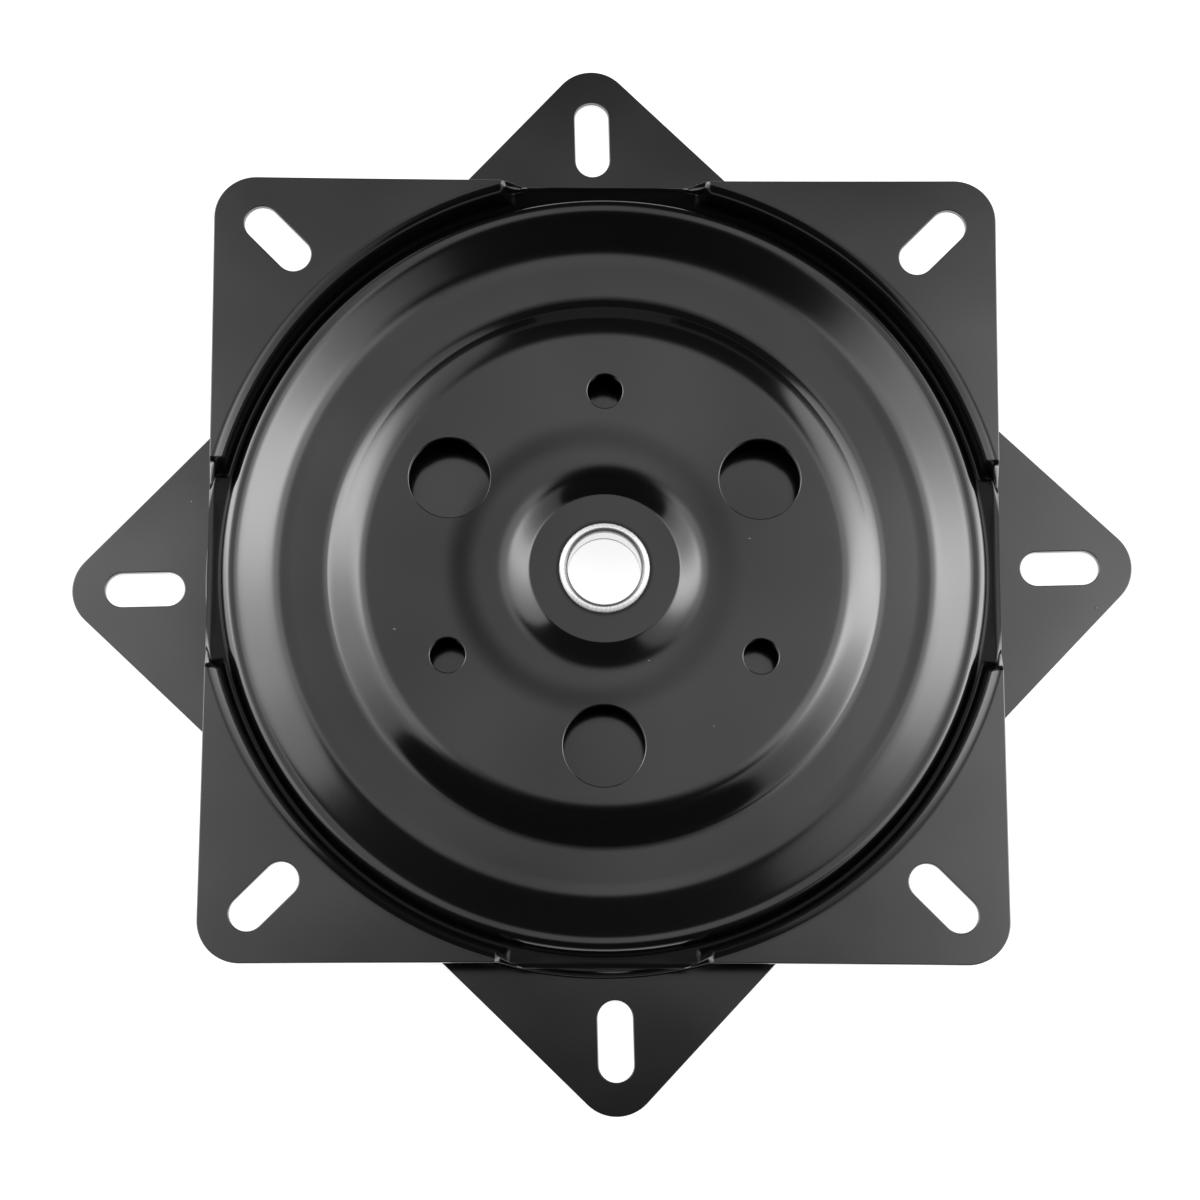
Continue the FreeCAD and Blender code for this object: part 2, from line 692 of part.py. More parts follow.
def round_edges(shape, least=0.0):
    """Names of a ring's round edges with more than a least radius."""
    return [f"Edge{number}" for number, edge in enumerate(shape.Edges, start=1)
            if isinstance(edge.Curve, Part.Circle) and edge.Curve.Radius > least]


def chamfered(body, base, label, edges, expression):
    """Chamfer the named edges of the feature before."""
    chamfer = body.newObject("PartDesign::Chamfer", label)
    chamfer.Base = (base, edges)
    chamfer.setExpression("Size", expression)
    body.Tip = chamfer
    doc.recompute()


def spacer_bush():
    """The bush between the plates' centres: it stands on the lower plate, and the upper one clears it."""
    body = doc.addObject("PartDesign::Body", "spacer_bush")
    body.Label = "spacer_bush"
    ring = new_sketch(body, "bush_ring", "XY_Plane")
    draw_ring(ring, rivet_hole_radius(), RIVET_HOLE, size("bush_outer") / 2, "Sizes.bush_outer / 2")
    pad = body.newObject("PartDesign::Pad", "bush_pad")
    pad.Profile = ring
    pad.setExpression("Length", "Sizes.centre_gap - Sizes.axial_play")
    doc.recompute()
    middle = (rivet_hole_radius() + size("bush_outer") / 2) / 2
    outer_edges = round_edges(pad.Shape, least=middle)
    chamfered(body, pad, "bush_chamfered", outer_edges, "Sizes.bush_chamfer")
    return body


def ball_retainer():
    """The ring that spaces the balls: each sits in a round pocket that is open on the outside."""
    body = doc.addObject("PartDesign::Body", "ball_retainer")
    body.Label = "ball_retainer"
    ring = new_sketch(body, "retainer_ring", "XY_Plane")
    centre = ball_place()
    draw_ring(ring, centre - size("retainer_inside"), f"{BALL_PLACE} - Sizes.retainer_inside",
              centre + size("retainer_outside"), f"{BALL_PLACE} + Sizes.retainer_outside")
    pad = body.newObject("PartDesign::Pad", "retainer_pad")
    pad.Profile = ring
    pad.Midplane = True
    pad.setExpression("Length", "Sizes.retainer_thick")
    doc.recompute()
    chamfered(body, pad, "retainer_chamfered", round_edges(pad.Shape), "Sizes.retainer_edge")
    pocket_sketch = new_sketch(body, "retainer_pocket", "XY_Plane")
    radius = size("ball_diameter") / 2 + size("pocket_clearance")
    circle = pocket_sketch.addGeometry(
        Part.Circle(vec(centre, 0), FreeCAD.Vector(0, 0, 1), radius), False)
    pocket_sketch.addConstraint(Sketcher.Constraint("PointOnObject", circle, 3, -1))
    bind(pocket_sketch, "DistanceX", -1, 1, circle, 3, centre, BALL_PLACE)
    bind(pocket_sketch, "Radius", circle, radius, "Sizes.ball_diameter / 2 + Sizes.pocket_clearance")
    pocket_pattern(body, "retainer_pockets", pocket_sketch, "ball_count")
    return body


# Balls

def ball(number):
    """One ball at its place in the retainer."""
    label = f"ball_{number:02d}"
    sphere = doc.addObject("Part::Sphere", label)
    sphere.Label = label
    sphere.setExpression("Radius", "Sizes.ball_diameter / 2")
    turn = f"({number - 1} * {FULL_TURN} / Sizes.ball_count * 1 deg)"
    sphere.setExpression("Placement.Base.x", f"{BALL_PLACE} * cos{turn}")
    sphere.setExpression("Placement.Base.y", f"{BALL_PLACE} * sin{turn}")
    sphere.setExpression("Placement.Base.z", "Sizes.overall_height / 2")
    return sphere


def lift(node, expression="Sizes.overall_height / 2"):
    """Raise a piece drawn about the plane between the plates to its height."""
    node.setExpression("Placement.Base.z", expression)


upper_plate = pressed_plate("upper_plate", with_holes=True)
upright = FreeCAD.Vector(0, 0, 1)
upper_plate.Placement.Rotation = FreeCAD.Rotation(upright, size("rest_turn") - CORNER_TURN)
lift(upper_plate)

# The lower plate is the same pressing turned over, its corners on X and Y.
lower_plate = pressed_plate("lower_plate", with_holes=False)
turned_over = FreeCAD.Rotation(FreeCAD.Vector(1, 0, 0), FULL_TURN / 2)
lower_plate.Placement.Rotation = FreeCAD.Rotation(upright, CORNER_TURN) * turned_over
lift(lower_plate)

rivet = hollow_rivet()
lift(rivet)
bush = spacer_bush()
lift(bush, "Sizes.overall_height / 2 - Sizes.centre_gap / 2")
retainer = ball_retainer()
lift(retainer)
balls = [ball(number) for number in range(1, round(size("ball_count")) + 1)]

doc.recompute()

nodes = [upper_plate, lower_plate, rivet, bush, retainer] + balls
for item in doc.Objects:
    if "Invalid" in item.State or "Error" in item.State:
        raise RuntimeError(item.Label + " did not compute")
    if item.TypeId == "Sketcher::SketchObject" and not item.FullyConstrained:
        raise RuntimeError(item.Label + " is not fully constrained")
for node in nodes:
    if node.Shape.isNull() or not node.Shape.isValid():
        raise RuntimeError(node.Label + " has no valid shape")

os.makedirs("parts", exist_ok=True)
for node in nodes:
    node.Shape.exportStep(f"parts/{node.Label}.step")
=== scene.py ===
import math

import bpy
import numpy as np
from mathutils import Matrix, Vector, geometry


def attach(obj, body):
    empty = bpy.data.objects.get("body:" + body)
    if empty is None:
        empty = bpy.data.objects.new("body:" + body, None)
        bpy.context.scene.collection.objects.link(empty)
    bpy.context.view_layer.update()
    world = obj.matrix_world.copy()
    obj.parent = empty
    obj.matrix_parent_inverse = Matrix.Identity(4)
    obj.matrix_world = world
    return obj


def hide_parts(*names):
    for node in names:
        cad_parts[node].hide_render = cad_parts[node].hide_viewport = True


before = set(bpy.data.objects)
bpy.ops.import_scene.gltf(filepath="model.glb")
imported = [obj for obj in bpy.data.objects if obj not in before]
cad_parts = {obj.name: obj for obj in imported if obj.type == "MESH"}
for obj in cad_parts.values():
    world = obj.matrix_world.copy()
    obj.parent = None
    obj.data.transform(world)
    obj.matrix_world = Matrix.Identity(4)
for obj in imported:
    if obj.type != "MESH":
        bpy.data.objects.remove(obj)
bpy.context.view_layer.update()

# Materials


class Nodes:
    """Makes and links nodes of one tree."""

    def __init__(self, tree):
        self.tree = tree

    def add(self, kind, **settings):
        made = self.tree.nodes.new("ShaderNode" + kind)
        for name, value in settings.items():
            setattr(made, name, value)
        return made

    def link(self, output, socket):
        self.tree.links.new(output, socket)

    def calculate(self, operation, *inputs):
        made = self.add("Math", operation=operation)
        for socket, value in zip(made.inputs, inputs):
            if isinstance(value, (int, float)):
                socket.default_value = value
            else:
                self.link(value, socket)
        return made.outputs[0]

    def blend(self, value, low, high, start=0.0, end=1.0):
        """From start to end, smoothly, while the value goes from low to high."""
        made = self.add("MapRange", interpolation_type="SMOOTHSTEP")
        self.link(value, made.inputs["Value"])
        made.inputs["From Min"].default_value = low
        made.inputs["From Max"].default_value = high
        made.inputs["To Min"].default_value = start
        made.inputs["To Max"].default_value = end
        return made.outputs["Result"]

    def apart(self, vector):
        made = self.add("SeparateXYZ")
        self.link(vector, made.inputs[0])
        return made.outputs

    def length(self, x, y):
        return self.calculate("SQRT", self.calculate("MULTIPLY_ADD", x, x, self.calculate("MULTIPLY", y, y)))

    def noise(self, place, scale, detail):
        made = self.add("TexNoise")
        made.inputs["Scale"].default_value = scale
        made.inputs["Detail"].default_value = detail
        self.link(place, made.inputs["Vector"])
        return made.outputs["Fac"]

    def bump(self, height, shader):
        made = self.add("Bump")
        made.inputs["Strength"].default_value = 1
        made.inputs["Distance"].default_value = 1
        self.link(height, made.inputs["Height"])
        self.link(made.outputs["Normal"], shader.inputs["Normal"])


def new_material(name):
    """A material with its nodes, its shader and the place on the object."""
    material = bpy.data.materials.new(name)
    material.use_nodes = True
    nodes = Nodes(material.node_tree)
    shader = material.node_tree.nodes["Principled BSDF"]
    place = nodes.add("TexCoord").outputs["Object"]
    return material, nodes, shader, place


# Lengths in the materials are in metres. Pairs are where something begins and is fully there; some are
# radii and some heights from the plane between the plates.
MIDDLE_HEIGHT = 0.0114
CREST_ENDS = (0.0863, 0.0868)
TABS_BEGIN = (0.0910, 0.0916)
GROOVE_TOP = (0.0101, 0.0107)
BEND_ENDS = (0.0915, 0.0925)
# The ring of painted shade round the boss
HALO_BEGINS = (0.0255, 0.0300)
HALO_ENDS = (0.0305, 0.0350)
HALO_SHIFT = 0.0025
RIM_SHADE_ENDS = (0.0104, 0.0114)
# How strongly the coat shines, as shares of a full shine; "aside" is what is added at the left and right
LEAST_GLOSS = 0.6
CLOUD_GLOSS = 0.8
# Painted shade on the bend from the rim's wall onto the tabs
BEND_PAINTED_SHADE = -0.45
# Painted shade in the groove: its shine, with a little painted light added at the sides and the front
GROOVE_PAINTED_SHINE = 0.004
GROOVE_PAINTED_SHINE_ASIDE = 0.16
GROOVE_PAINTED_SHINE_IN_FRONT = 0.15
# Painted shade in the ring round the boss, stronger at the left
HALO_PAINTED_SHADE = -0.34
HALO_PAINTED_SHADE_ASIDE = 0.16
RIM_SHADE = 0.45
FULL_SHINE = 0.5
COAT_INDEX = 1.9
COAT_ROUGHNESS = 0.12
GROOVE_ROUGHNESS = 0.12
COAT_SHADE = 0.0028
CLOUD_SCALE = 24
WAVE_SCALE = 45
WAVE_HEIGHT = 0.00005
SPECK_SCALE = 75
SPECK_EDGE = (0.008, 0.024)
SPECK_SHADE = 0.09
SPECK_HEIGHT = 0.00004
# The grain of the steel and of the plastics
GRAIN_SCALE = 900
GRAIN_HEIGHT = 0.0000012
GRAIN_ROUGHNESS = 0.08
# Zinc: the dark line inside a rim, the bore, and the streaks
LINE_RADII = (0.0090, 0.0093)
LINE_HEIGHTS = (0.0030, 0.0035)
LINE_SHADE = -0.72
BORE_ENDS = (0.0086, 0.0090)
RIM_METAL = -0.65
ZINC_SHADE = 0.88
ZINC_ROUGHNESS = 0.26
STREAK_SCALE = 1600
STREAK_SHADE = 0.03
STREAK_ROUGHNESS = 0.03


def painted_black():
    """Gloss black coat on steel, with a few specks of dust, and rougher in the narrow groove. Painted shade
    turns its shine down in the groove, on the bend up to the tabs, in a ring round the boss and close round
    the rivet's rim."""
    material, nodes, shader, place = new_material("black_coat")
    calculate = nodes.calculate
    blend = nodes.blend
    x, y, z = nodes.apart(place)
    radius = nodes.length(x, y)
    height = calculate("ABSOLUTE", calculate("SUBTRACT", z, MIDDLE_HEIGHT))
    beyond_crest = blend(radius, *CREST_ENDS)
    within_tabs = blend(radius, *TABS_BEGIN, 1.0, 0.0)
    # The groove, where the coat is rougher and its shine is turned down as painted shade
    groove = calculate("MULTIPLY", calculate("MULTIPLY", beyond_crest, within_tabs),
                       blend(height, *GROOVE_TOP, 1.0, 0.0))
    # The bend from the rim's wall onto the tabs, where painted shade turns the shine down
    bend = calculate("MULTIPLY", beyond_crest,
                     calculate("SUBTRACT", blend(height, *GROOVE_TOP), blend(radius, *BEND_ENDS)))
    bend = calculate("MAXIMUM", bend, 0.0)

    # Painted shade in the groove, with a little painted light left at the left, the right and the front,
    # more than behind
    across = calculate("DIVIDE", x, radius)
    in_front = calculate("MAXIMUM", calculate("DIVIDE", calculate("MULTIPLY", y, -1.0), radius), 0.0)
    groove_painted_shine = calculate("MULTIPLY_ADD", calculate("MULTIPLY", across, across), GROOVE_PAINTED_SHINE_ASIDE,
                             GROOVE_PAINTED_SHINE)
    groove_painted_shine = calculate("MULTIPLY_ADD", in_front, GROOVE_PAINTED_SHINE_IN_FRONT, groove_painted_shine)
    # Painted shade: a ring round the boss, a little to the left, shines less, and more so at the left
    from_boss = calculate("MULTIPLY_ADD", across, HALO_SHIFT, radius)
    halo = calculate("MULTIPLY", blend(from_boss, *HALO_BEGINS), blend(from_boss, *HALO_ENDS, 1.0, 0.0))
    halo = calculate("MULTIPLY", halo, calculate("MULTIPLY_ADD", across, HALO_PAINTED_SHADE_ASIDE, HALO_PAINTED_SHADE))
    cloud = nodes.noise(place, CLOUD_SCALE, 1)
    gloss = calculate("ADD", halo, calculate("MULTIPLY_ADD", cloud, CLOUD_GLOSS, LEAST_GLOSS))
    # Painted shade on that bend
    gloss = calculate("MULTIPLY", gloss, calculate("MULTIPLY_ADD", bend, BEND_PAINTED_SHADE, 1.0))
    # Shade close round the rivet's rim
    gloss = calculate("MULTIPLY", gloss, blend(radius, *RIM_SHADE_ENDS, RIM_SHADE, 1.0))
    mixed = calculate("MULTIPLY_ADD", calculate("SUBTRACT", groove_painted_shine, gloss), groove, gloss)
    nodes.link(calculate("MULTIPLY", mixed, FULL_SHINE), shader.inputs["Specular IOR Level"])
    roughness = calculate("MULTIPLY_ADD", groove, GROOVE_ROUGHNESS, COAT_ROUGHNESS)
    nodes.link(roughness, shader.inputs["Roughness"])
    shader.inputs["IOR"].default_value = COAT_INDEX

    cells = nodes.add("TexVoronoi")
    cells.inputs["Scale"].default_value = SPECK_SCALE
    nodes.link(place, cells.inputs["Vector"])
    speck = blend(cells.outputs["Distance"], *SPECK_EDGE, 1.0, 0.0)
    shade = calculate("MULTIPLY_ADD", speck, SPECK_SHADE, COAT_SHADE)
    colour = nodes.add("CombineColor")
    for socket in colour.inputs:
        nodes.link(shade, socket)
    nodes.link(colour.outputs[0], shader.inputs["Base Color"])

    waves = calculate("MULTIPLY", nodes.noise(place, WAVE_SCALE, 1), WAVE_HEIGHT)
    grain = calculate("MULTIPLY", nodes.noise(place, GRAIN_SCALE, 2), GRAIN_HEIGHT)
    surface = calculate("MULTIPLY_ADD", speck, SPECK_HEIGHT, calculate("ADD", waves, grain))
    nodes.bump(surface, shader)
    return material


def plated_zinc():
    """Bright zinc, with a dark shadow line just inside each rim."""
    material, nodes, shader, place = new_material("zinc_plate")
    calculate = nodes.calculate
    x, y, z = nodes.apart(place)
    radius = nodes.length(x, y)
    height = calculate("ABSOLUTE", calculate("SUBTRACT", z, MIDDLE_HEIGHT))
    line = calculate("MULTIPLY", nodes.blend(radius, *LINE_RADII, 1.0, 0.0),
                     nodes.blend(height, *LINE_HEIGHTS))
    streaks = nodes.noise(place, STREAK_SCALE, 2)
    streaked = calculate("MULTIPLY_ADD", streaks, STREAK_SHADE, ZINC_SHADE)
    shade = calculate("MULTIPLY_ADD", line, LINE_SHADE, streaked)
    colour = nodes.add("CombineColor")
    for socket in colour.inputs:
        nodes.link(shade, socket)
    nodes.link(colour.outputs[0], shader.inputs["Base Color"])
    metal = calculate("MULTIPLY_ADD", nodes.blend(radius, *BORE_ENDS), RIM_METAL, 1.0)
    nodes.link(metal, shader.inputs["Metallic"])
    roughness = calculate("MULTIPLY_ADD", streaks, STREAK_ROUGHNESS, ZINC_ROUGHNESS)
    nodes.link(roughness, shader.inputs["Roughness"])
    return material


def fine_grained(name, colour, roughness, metallic=0):
    """Plastic or metal whose finish varies a little with a fine grain."""
    material, nodes, shader, place = new_material(name)
    grain = nodes.noise(place, GRAIN_SCALE, 2)
    shader.inputs["Base Color"].default_value = (*colour, 1)
    shader.inputs["Metallic"].default_value = metallic
    uneven = nodes.calculate("MULTIPLY_ADD", grain, GRAIN_ROUGHNESS, roughness)
    nodes.link(uneven, shader.inputs["Roughness"])
    nodes.bump(nodes.calculate("MULTIPLY", grain, GRAIN_HEIGHT), shader)
    return material


black = painted_black()
zinc = plated_zinc()
bush_plastic = fine_grained("bush_plastic", (0.7, 0.7, 0.66), 0.46)
retainer_plastic = fine_grained("retainer_plastic", (0.65, 0.65, 0.6), 0.41)
ball_steel = fine_grained("ball_steel", (0.6, 0.6, 0.61), 0.04, 1)

finishes = {
    "upper_plate": black,
    "lower_plate": black,
    "hollow_rivet": zinc,
    "spacer_bush": bush_plastic,
    "ball_retainer": retainer_plastic,
}
for name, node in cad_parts.items():
    finish = finishes.get(name, ball_steel)
    node.data.materials.clear()
    node.data.materials.append(finish)

# Pressed plates. Sizes are in millimetres and are those of the solids; a plate's own frame has the
# plane between the plates at Z = 0 and the tabs up.

MM = 0.001
SHEET = 2.0
HEIGHT = 22.8
REST_TURN = math.radians(-1.6)
CORNER_TURN = math.radians(45)
HALF_SIDE = 90.2
SIDE_BOW = 0.9
CORNER_ROUND = 9.5
SLOT_PLACE = 75 * math.sqrt(2)
SLOT_HALF_RUN = 5.2
SLOT_RADIUS = 4.0
HOLE_PLACE = 40.8
ACCESS_RADIUS = 9.25
SCREW_RADIUS = 4.0
RIVET_HOLE = 9.4
BALL_PLACE = 81.6
BALL_REACH = 5.79
RACE_SLOPE = math.radians(18)
WALL_SLOPE = math.radians(80)
RIM_SLOPE = math.radians(87)
BOSS_FOOT = 17.3
BOSS_SLOPE = math.radians(28)
DISC_EDGE = 57.0
DISC_SLOPE = math.radians(35)
FLOOR_Z = 4.6
DISC_Z = 6.6
RING_Z = 3.35
GROOVE_Z = 2.55
TAB_Z = HEIGHT / 2
CREST_FLAT = 0.3
GROOVE_FLAT = 0.3
TAB_RUN = 8
# Upper-face radii of the bends, left turns positive, and how many steps each is drawn with
RACE_BEND = 8.0
CREST_BEND = 2.3
GROOVE_BEND = 1.0
BENDS = [(1.5, 5), (-15.5, 10), (-6.3, 8), (3.5, 7), (13.0, 5), (-RACE_BEND, 6), (-CREST_BEND, 10),
         (GROOVE_BEND, 8), (GROOVE_BEND, 8), (-2.6, 10)]
# The light runs softer over the broad bends than their drawn shape. At a radius, this is how much
# further out the slope begins, over which half width it is evened and how much of it is left.
SOFTNESS = [
    (16.5, 0.0, 0.1, 1.0),
    (18.0, 0.0, 0.3, 1.0),
    (20.0, 0.0, 1.6, 1.0),
    (22.0, -0.4, 2.8, 1.0),
    (31.0, 0.0, 3.0, 1.0),
    (51.0, 0.0, 1.6, 0.9),
    (55.0, -0.3, 1.6, 0.9),
    (58.0, 0.1, 0.9, 0.94),
    (60.0, 0.4, 0.4, 0.955),
    (63.0, 0.6, 0.4, 0.94),
    (66.0, 0.5, 0.5, 1.0),
    (71.0, 0.8, 1.0, 1.0),
    (75.0, 1.5, 1.3, 1.0),
    (79.0, 1.2, 1.0, 1.0),
    (82.0, 0.7, 0.9, 1.0),
    (85.5, 0.6, 0.4, 1.0),
    (87.0, 0.0, 0.1, 1.0),
]
SOFT_RADII, SOFT_SHIFTS, SOFT_WIDTHS, SOFT_SHARES = zip(*SOFTNESS)
SOFT_SAMPLES = 15
# Rings of the disc next to its bends carry that soft light; the flat face with the holes lies between
DISC_SOFT_INNER = 31.0
DISC_SOFT_OUTER = 51.0
# The sheared edges are a little rounded
EDGE = 0.22
EDGE_STEPS = 4
# Window at the middle of each side: where its ends begin and end along the side, how much later they
# do so at the outline, from which share of the way out, how far the ends are rolled, and the lip
RAMP_START = 25.4
RAMP_END = 21.4
OUTER_START_LATER = 0.9
OUTER_END_LATER = 3.4
OUTER_BEGINS = 0.7
ROLL = math.radians(14)
ROLL_BEGINS = 0.82
ROLL_RUN = 0.12
ROLL_SPREAD = 8
LIP_FOOT = 88.8
LIP_BEND = 2.0
LIP_SLOPE = math.radians(20)
# Columns of the skin round the axis, and steps round holes, slots and corners
COARSE_STEP = math.radians(1.25)
FINE_STEP = math.radians(0.25)
ACCESS_STEPS = 96
SCREW_STEPS = 56
SLOT_STEPS = 16
SIDE_STEPS = 12
CORNER_STEPS = 8
# Vertices become one where their places, in metres, and their normals agree to these parts
PLACE_KEYS = 2e5
NORMAL_KEYS = 500


def section_corners():
    """Corners of the upper face's section before its bends are rounded."""
    crest_race = BALL_REACH / math.cos(RACE_SLOPE)
    crest_wall = BALL_REACH / math.sin(WALL_SLOPE)
    wanted = CREST_FLAT + RACE_BEND * math.tan(RACE_SLOPE / 2) + CREST_BEND * math.tan(WALL_SLOPE / 2)
    spare = crest_wall + crest_race / math.tan(RACE_SLOPE) - wanted
    crest = spare / (1 / math.tan(WALL_SLOPE) + 1 / math.tan(RACE_SLOPE))

    def race(z):
        return BALL_PLACE + (z - crest_race) / math.tan(RACE_SLOPE)

    def wall(z):
        return BALL_PLACE + crest_wall - z / math.tan(WALL_SLOPE)

    groove_end = wall(GROOVE_Z) + GROOVE_BEND * math.tan(WALL_SLOPE / 2) + GROOVE_FLAT
    rim = groove_end + GROOVE_BEND * math.tan(RIM_SLOPE / 2)
    return [
        (RIVET_HOLE + EDGE, FLOOR_Z),
        (BOSS_FOOT, FLOOR_Z),
        (BOSS_FOOT + (DISC_Z - FLOOR_Z) / math.tan(BOSS_SLOPE), DISC_Z),
        (DISC_EDGE, DISC_Z),
        (DISC_EDGE + (DISC_Z - RING_Z) / math.tan(DISC_SLOPE), RING_Z),
        (race(RING_Z), RING_Z),
        (race(crest), crest),
        (wall(crest), crest),
        (wall(GROOVE_Z), GROOVE_Z),
        (rim, GROOVE_Z),
        (rim + (TAB_Z - GROOVE_Z) / math.tan(RIM_SLOPE), TAB_Z),
        (rim + TAB_RUN, TAB_Z),
    ]


def section_runs(corners):
    """The section as runs: (start point, heading, length, curvature, steps) of each line and bend."""
    points = [np.array(corner, float) for corner in corners]
    runs = []
    here = points[0]
    for index, (radius, steps) in enumerate(BENDS):
        before = points[index + 1] - points[index]
        after = points[index + 2] - points[index + 1]
        heading = math.atan2(before[1], before[0])
        turn = abs(math.atan2(after[1], after[0]) - heading)
        cut = abs(radius) * math.tan(turn / 2)
        bend = points[index + 1] - cut * before / np.linalg.norm(before)
        runs.append((here, heading, np.linalg.norm(bend - here), 0.0, 1))
        runs.append((bend, heading, abs(radius) * turn, 1 / radius, steps))
        here = points[index + 1] + cut * after / np.linalg.norm(after)
    runs.append((here, 0.0, np.linalg.norm(points[-1] - here), 0.0, 1))
    return runs


def trace(runs, along):
    """Points (r, z) and headings at lengths along the runs."""
    along = np.asarray(along, float)
    r = np.zeros_like(along)
    z = np.zeros_like(along)
    heading = np.zeros_like(along)
    begin = 0.0
    for number, (start, angle, length, curvature, _) in enumerate(runs):
        last = number == len(runs) - 1
        here = (along >= begin) if last else (along >= begin) & (along < begin + length)
        run = along - begin
        if curvature:
            turned = angle + curvature * run
            r = np.where(here, start[0] + (np.sin(turned) - math.sin(angle)) / curvature, r)
            z = np.where(here, start[1] - (np.cos(turned) - math.cos(angle)) / curvature, z)
            heading = np.where(here, turned, heading)
        else:
            r = np.where(here, start[0] + run * math.cos(angle), r)
            z = np.where(here, start[1] + run * math.sin(angle), z)
            heading = np.where(here, angle, heading)
        begin += length
    return r, z, heading


def soft_heading(runs, along):
    """Headings along the section, evened over the broad bends."""
    radius = trace(runs, along)[0]
    middle = along - np.interp(radius, SOFT_RADII, SOFT_SHIFTS)
    width = np.interp(radius, SOFT_RADII, SOFT_WIDTHS)
    share = np.interp(radius, SOFT_RADII, SOFT_SHARES)
    steps = np.linspace(-1, 1, SOFT_SAMPLES)
    headings = [trace(runs, np.clip(middle + step * width, 0, None))[2] for step in steps]
    return share * sum(headings) / len(headings)


def stations(runs):
    """Lengths along the runs at which the section is drawn."""
    marks = [0.0]
    begin = 0.0
    for _, _, length, _, steps in runs:
        marks.extend(begin + length * (step + 1) / steps for step in range(steps))
        begin += length
    return np.array(marks)


def side_line(y, inset=0.0):
    """Where a side's shallow arc lies, at a distance along the side from its middle."""
    radius = (2 * HALF_SIDE ** 2 + SIDE_BOW ** 2) / (2 * SIDE_BOW)
    return HALF_SIDE - SIDE_BOW - inset + radius - np.sqrt(radius ** 2 - y ** 2)


def side_radius(angle, inset=0.0):
    """From the axis to a side's arc, at angles from the side's middle."""
    angle = np.asarray(angle, float)
    radius = HALF_SIDE / np.cos(angle)
    for _ in range(4):
        radius = side_line(radius * np.sin(angle), inset) / np.cos(angle)
    return radius


SECTION = section_runs(section_corners())
# The rim's runs begin at the middle of the groove's flat and end on the tab
GROOVE_RUN = 16
half_flat = SECTION[GROOVE_RUN][2] / 2
groove_start = SECTION[GROOVE_RUN][0] + np.array((half_flat, 0))
RIM = [(groove_start, 0.0, half_flat, 0.0, 1)] + SECTION[GROOVE_RUN + 1:]
RIM_INNER = groove_start[0]
GROOVE_LENGTH = sum(run[2] for run in SECTION[:GROOVE_RUN]) + half_flat
disc_start = sum(run[2] for run in SECTION[:4])
SOFT_START = disc_start + DISC_SOFT_INNER - SECTION[4][0][0]
SOFT_END = disc_start + DISC_SOFT_OUTER - SECTION[4][0][0]
# Lengths at which the faces are drawn: the bends' steps, for the upper face with more over its soft
# stretches and for the under face with fewer
SOFT_STEP = 1.3
CREST_RUN = 6
upper_marks = sorted([*stations(SECTION), *np.arange(disc_start, SOFT_START, SOFT_STEP),
                      *np.arange(SOFT_END, GROOVE_LENGTH - CREST_RUN, SOFT_STEP)])
under_marks = stations([(*run[:4], max(1, run[4] // 2)) for run in SECTION])
# The rim goes this far onto the tab's level part
TAB_MARGIN = 0.3
TAB_START = SECTION[-1][0][0] + TAB_MARGIN
RIM_REACH = sum(run[2] for run in RIM[:-1]) + TAB_MARGIN
RIM_TABLE_STEPS = 6000
rim_table = np.linspace(0, RIM_REACH, RIM_TABLE_STEPS)
rim_table_radius = trace(RIM, rim_table)[0]


def smooth(value):
    value = np.clip(value, 0, 1)
    return value * value * (3 - 2 * value)


def window_share(angle, share):
    """How far the rim has given way to the window's floor, from 0 to 1."""
    outer = smooth((share - OUTER_BEGINS) / (1 - OUTER_BEGINS))
    start = RAMP_START - OUTER_START_LATER * outer
    end = RAMP_END - OUTER_END_LATER * outer
    return smooth((start - np.abs(HALF_SIDE * np.tan(angle))) / (start - end))


def rim_surface(angle, share, face):
    """Points of the rim, at angles from a side's middle and shares of the way out; face 0 is the upper
    face and 1 the under face. Away from the window it is the wall, the tab's bend and the tab; at the
    window the groove's floor runs out to the side and its lip."""
    reach = np.minimum(side_radius(angle, EDGE), TAB_START)
    wall_length = np.interp(reach, rim_table_radius, rim_table)
    r, z, heading = trace(RIM, share * wall_length)
    r = r + face * SHEET * np.sin(heading)
    z = z - face * SHEET * np.cos(heading)
    wall = np.stack((r * np.cos(angle), r * np.sin(angle), z), axis=-1)

    inner = RIM_INNER * np.cos(angle)
    arc = LIP_BEND * LIP_SLOPE
    lip_run = HALF_SIDE - EDGE - LIP_FOOT - (LIP_BEND + face * SHEET) * math.sin(LIP_SLOPE)
    lip_line = lip_run / math.cos(LIP_SLOPE)
    gone = share * (LIP_FOOT - inner + arc + lip_line) - (LIP_FOOT - inner)
    turned = np.clip(gone / LIP_BEND, 0, LIP_SLOPE)
    straight = np.clip(gone - arc, 0, None)
    x = LIP_FOOT + np.minimum(gone, 0) + LIP_BEND * np.sin(turned) + straight * math.cos(LIP_SLOPE)
    z = GROOVE_Z + LIP_BEND * (1 - np.cos(turned)) + straight * math.sin(LIP_SLOPE)
    y = x * np.tan(angle)
    x = x + face * SHEET * np.sin(turned)
    z = z - face * SHEET * np.cos(turned)
    floor = np.stack((x, y, z), axis=-1)

    openness = window_share(angle, share)[..., None]
    return wall * (1 - openness) + floor * openness


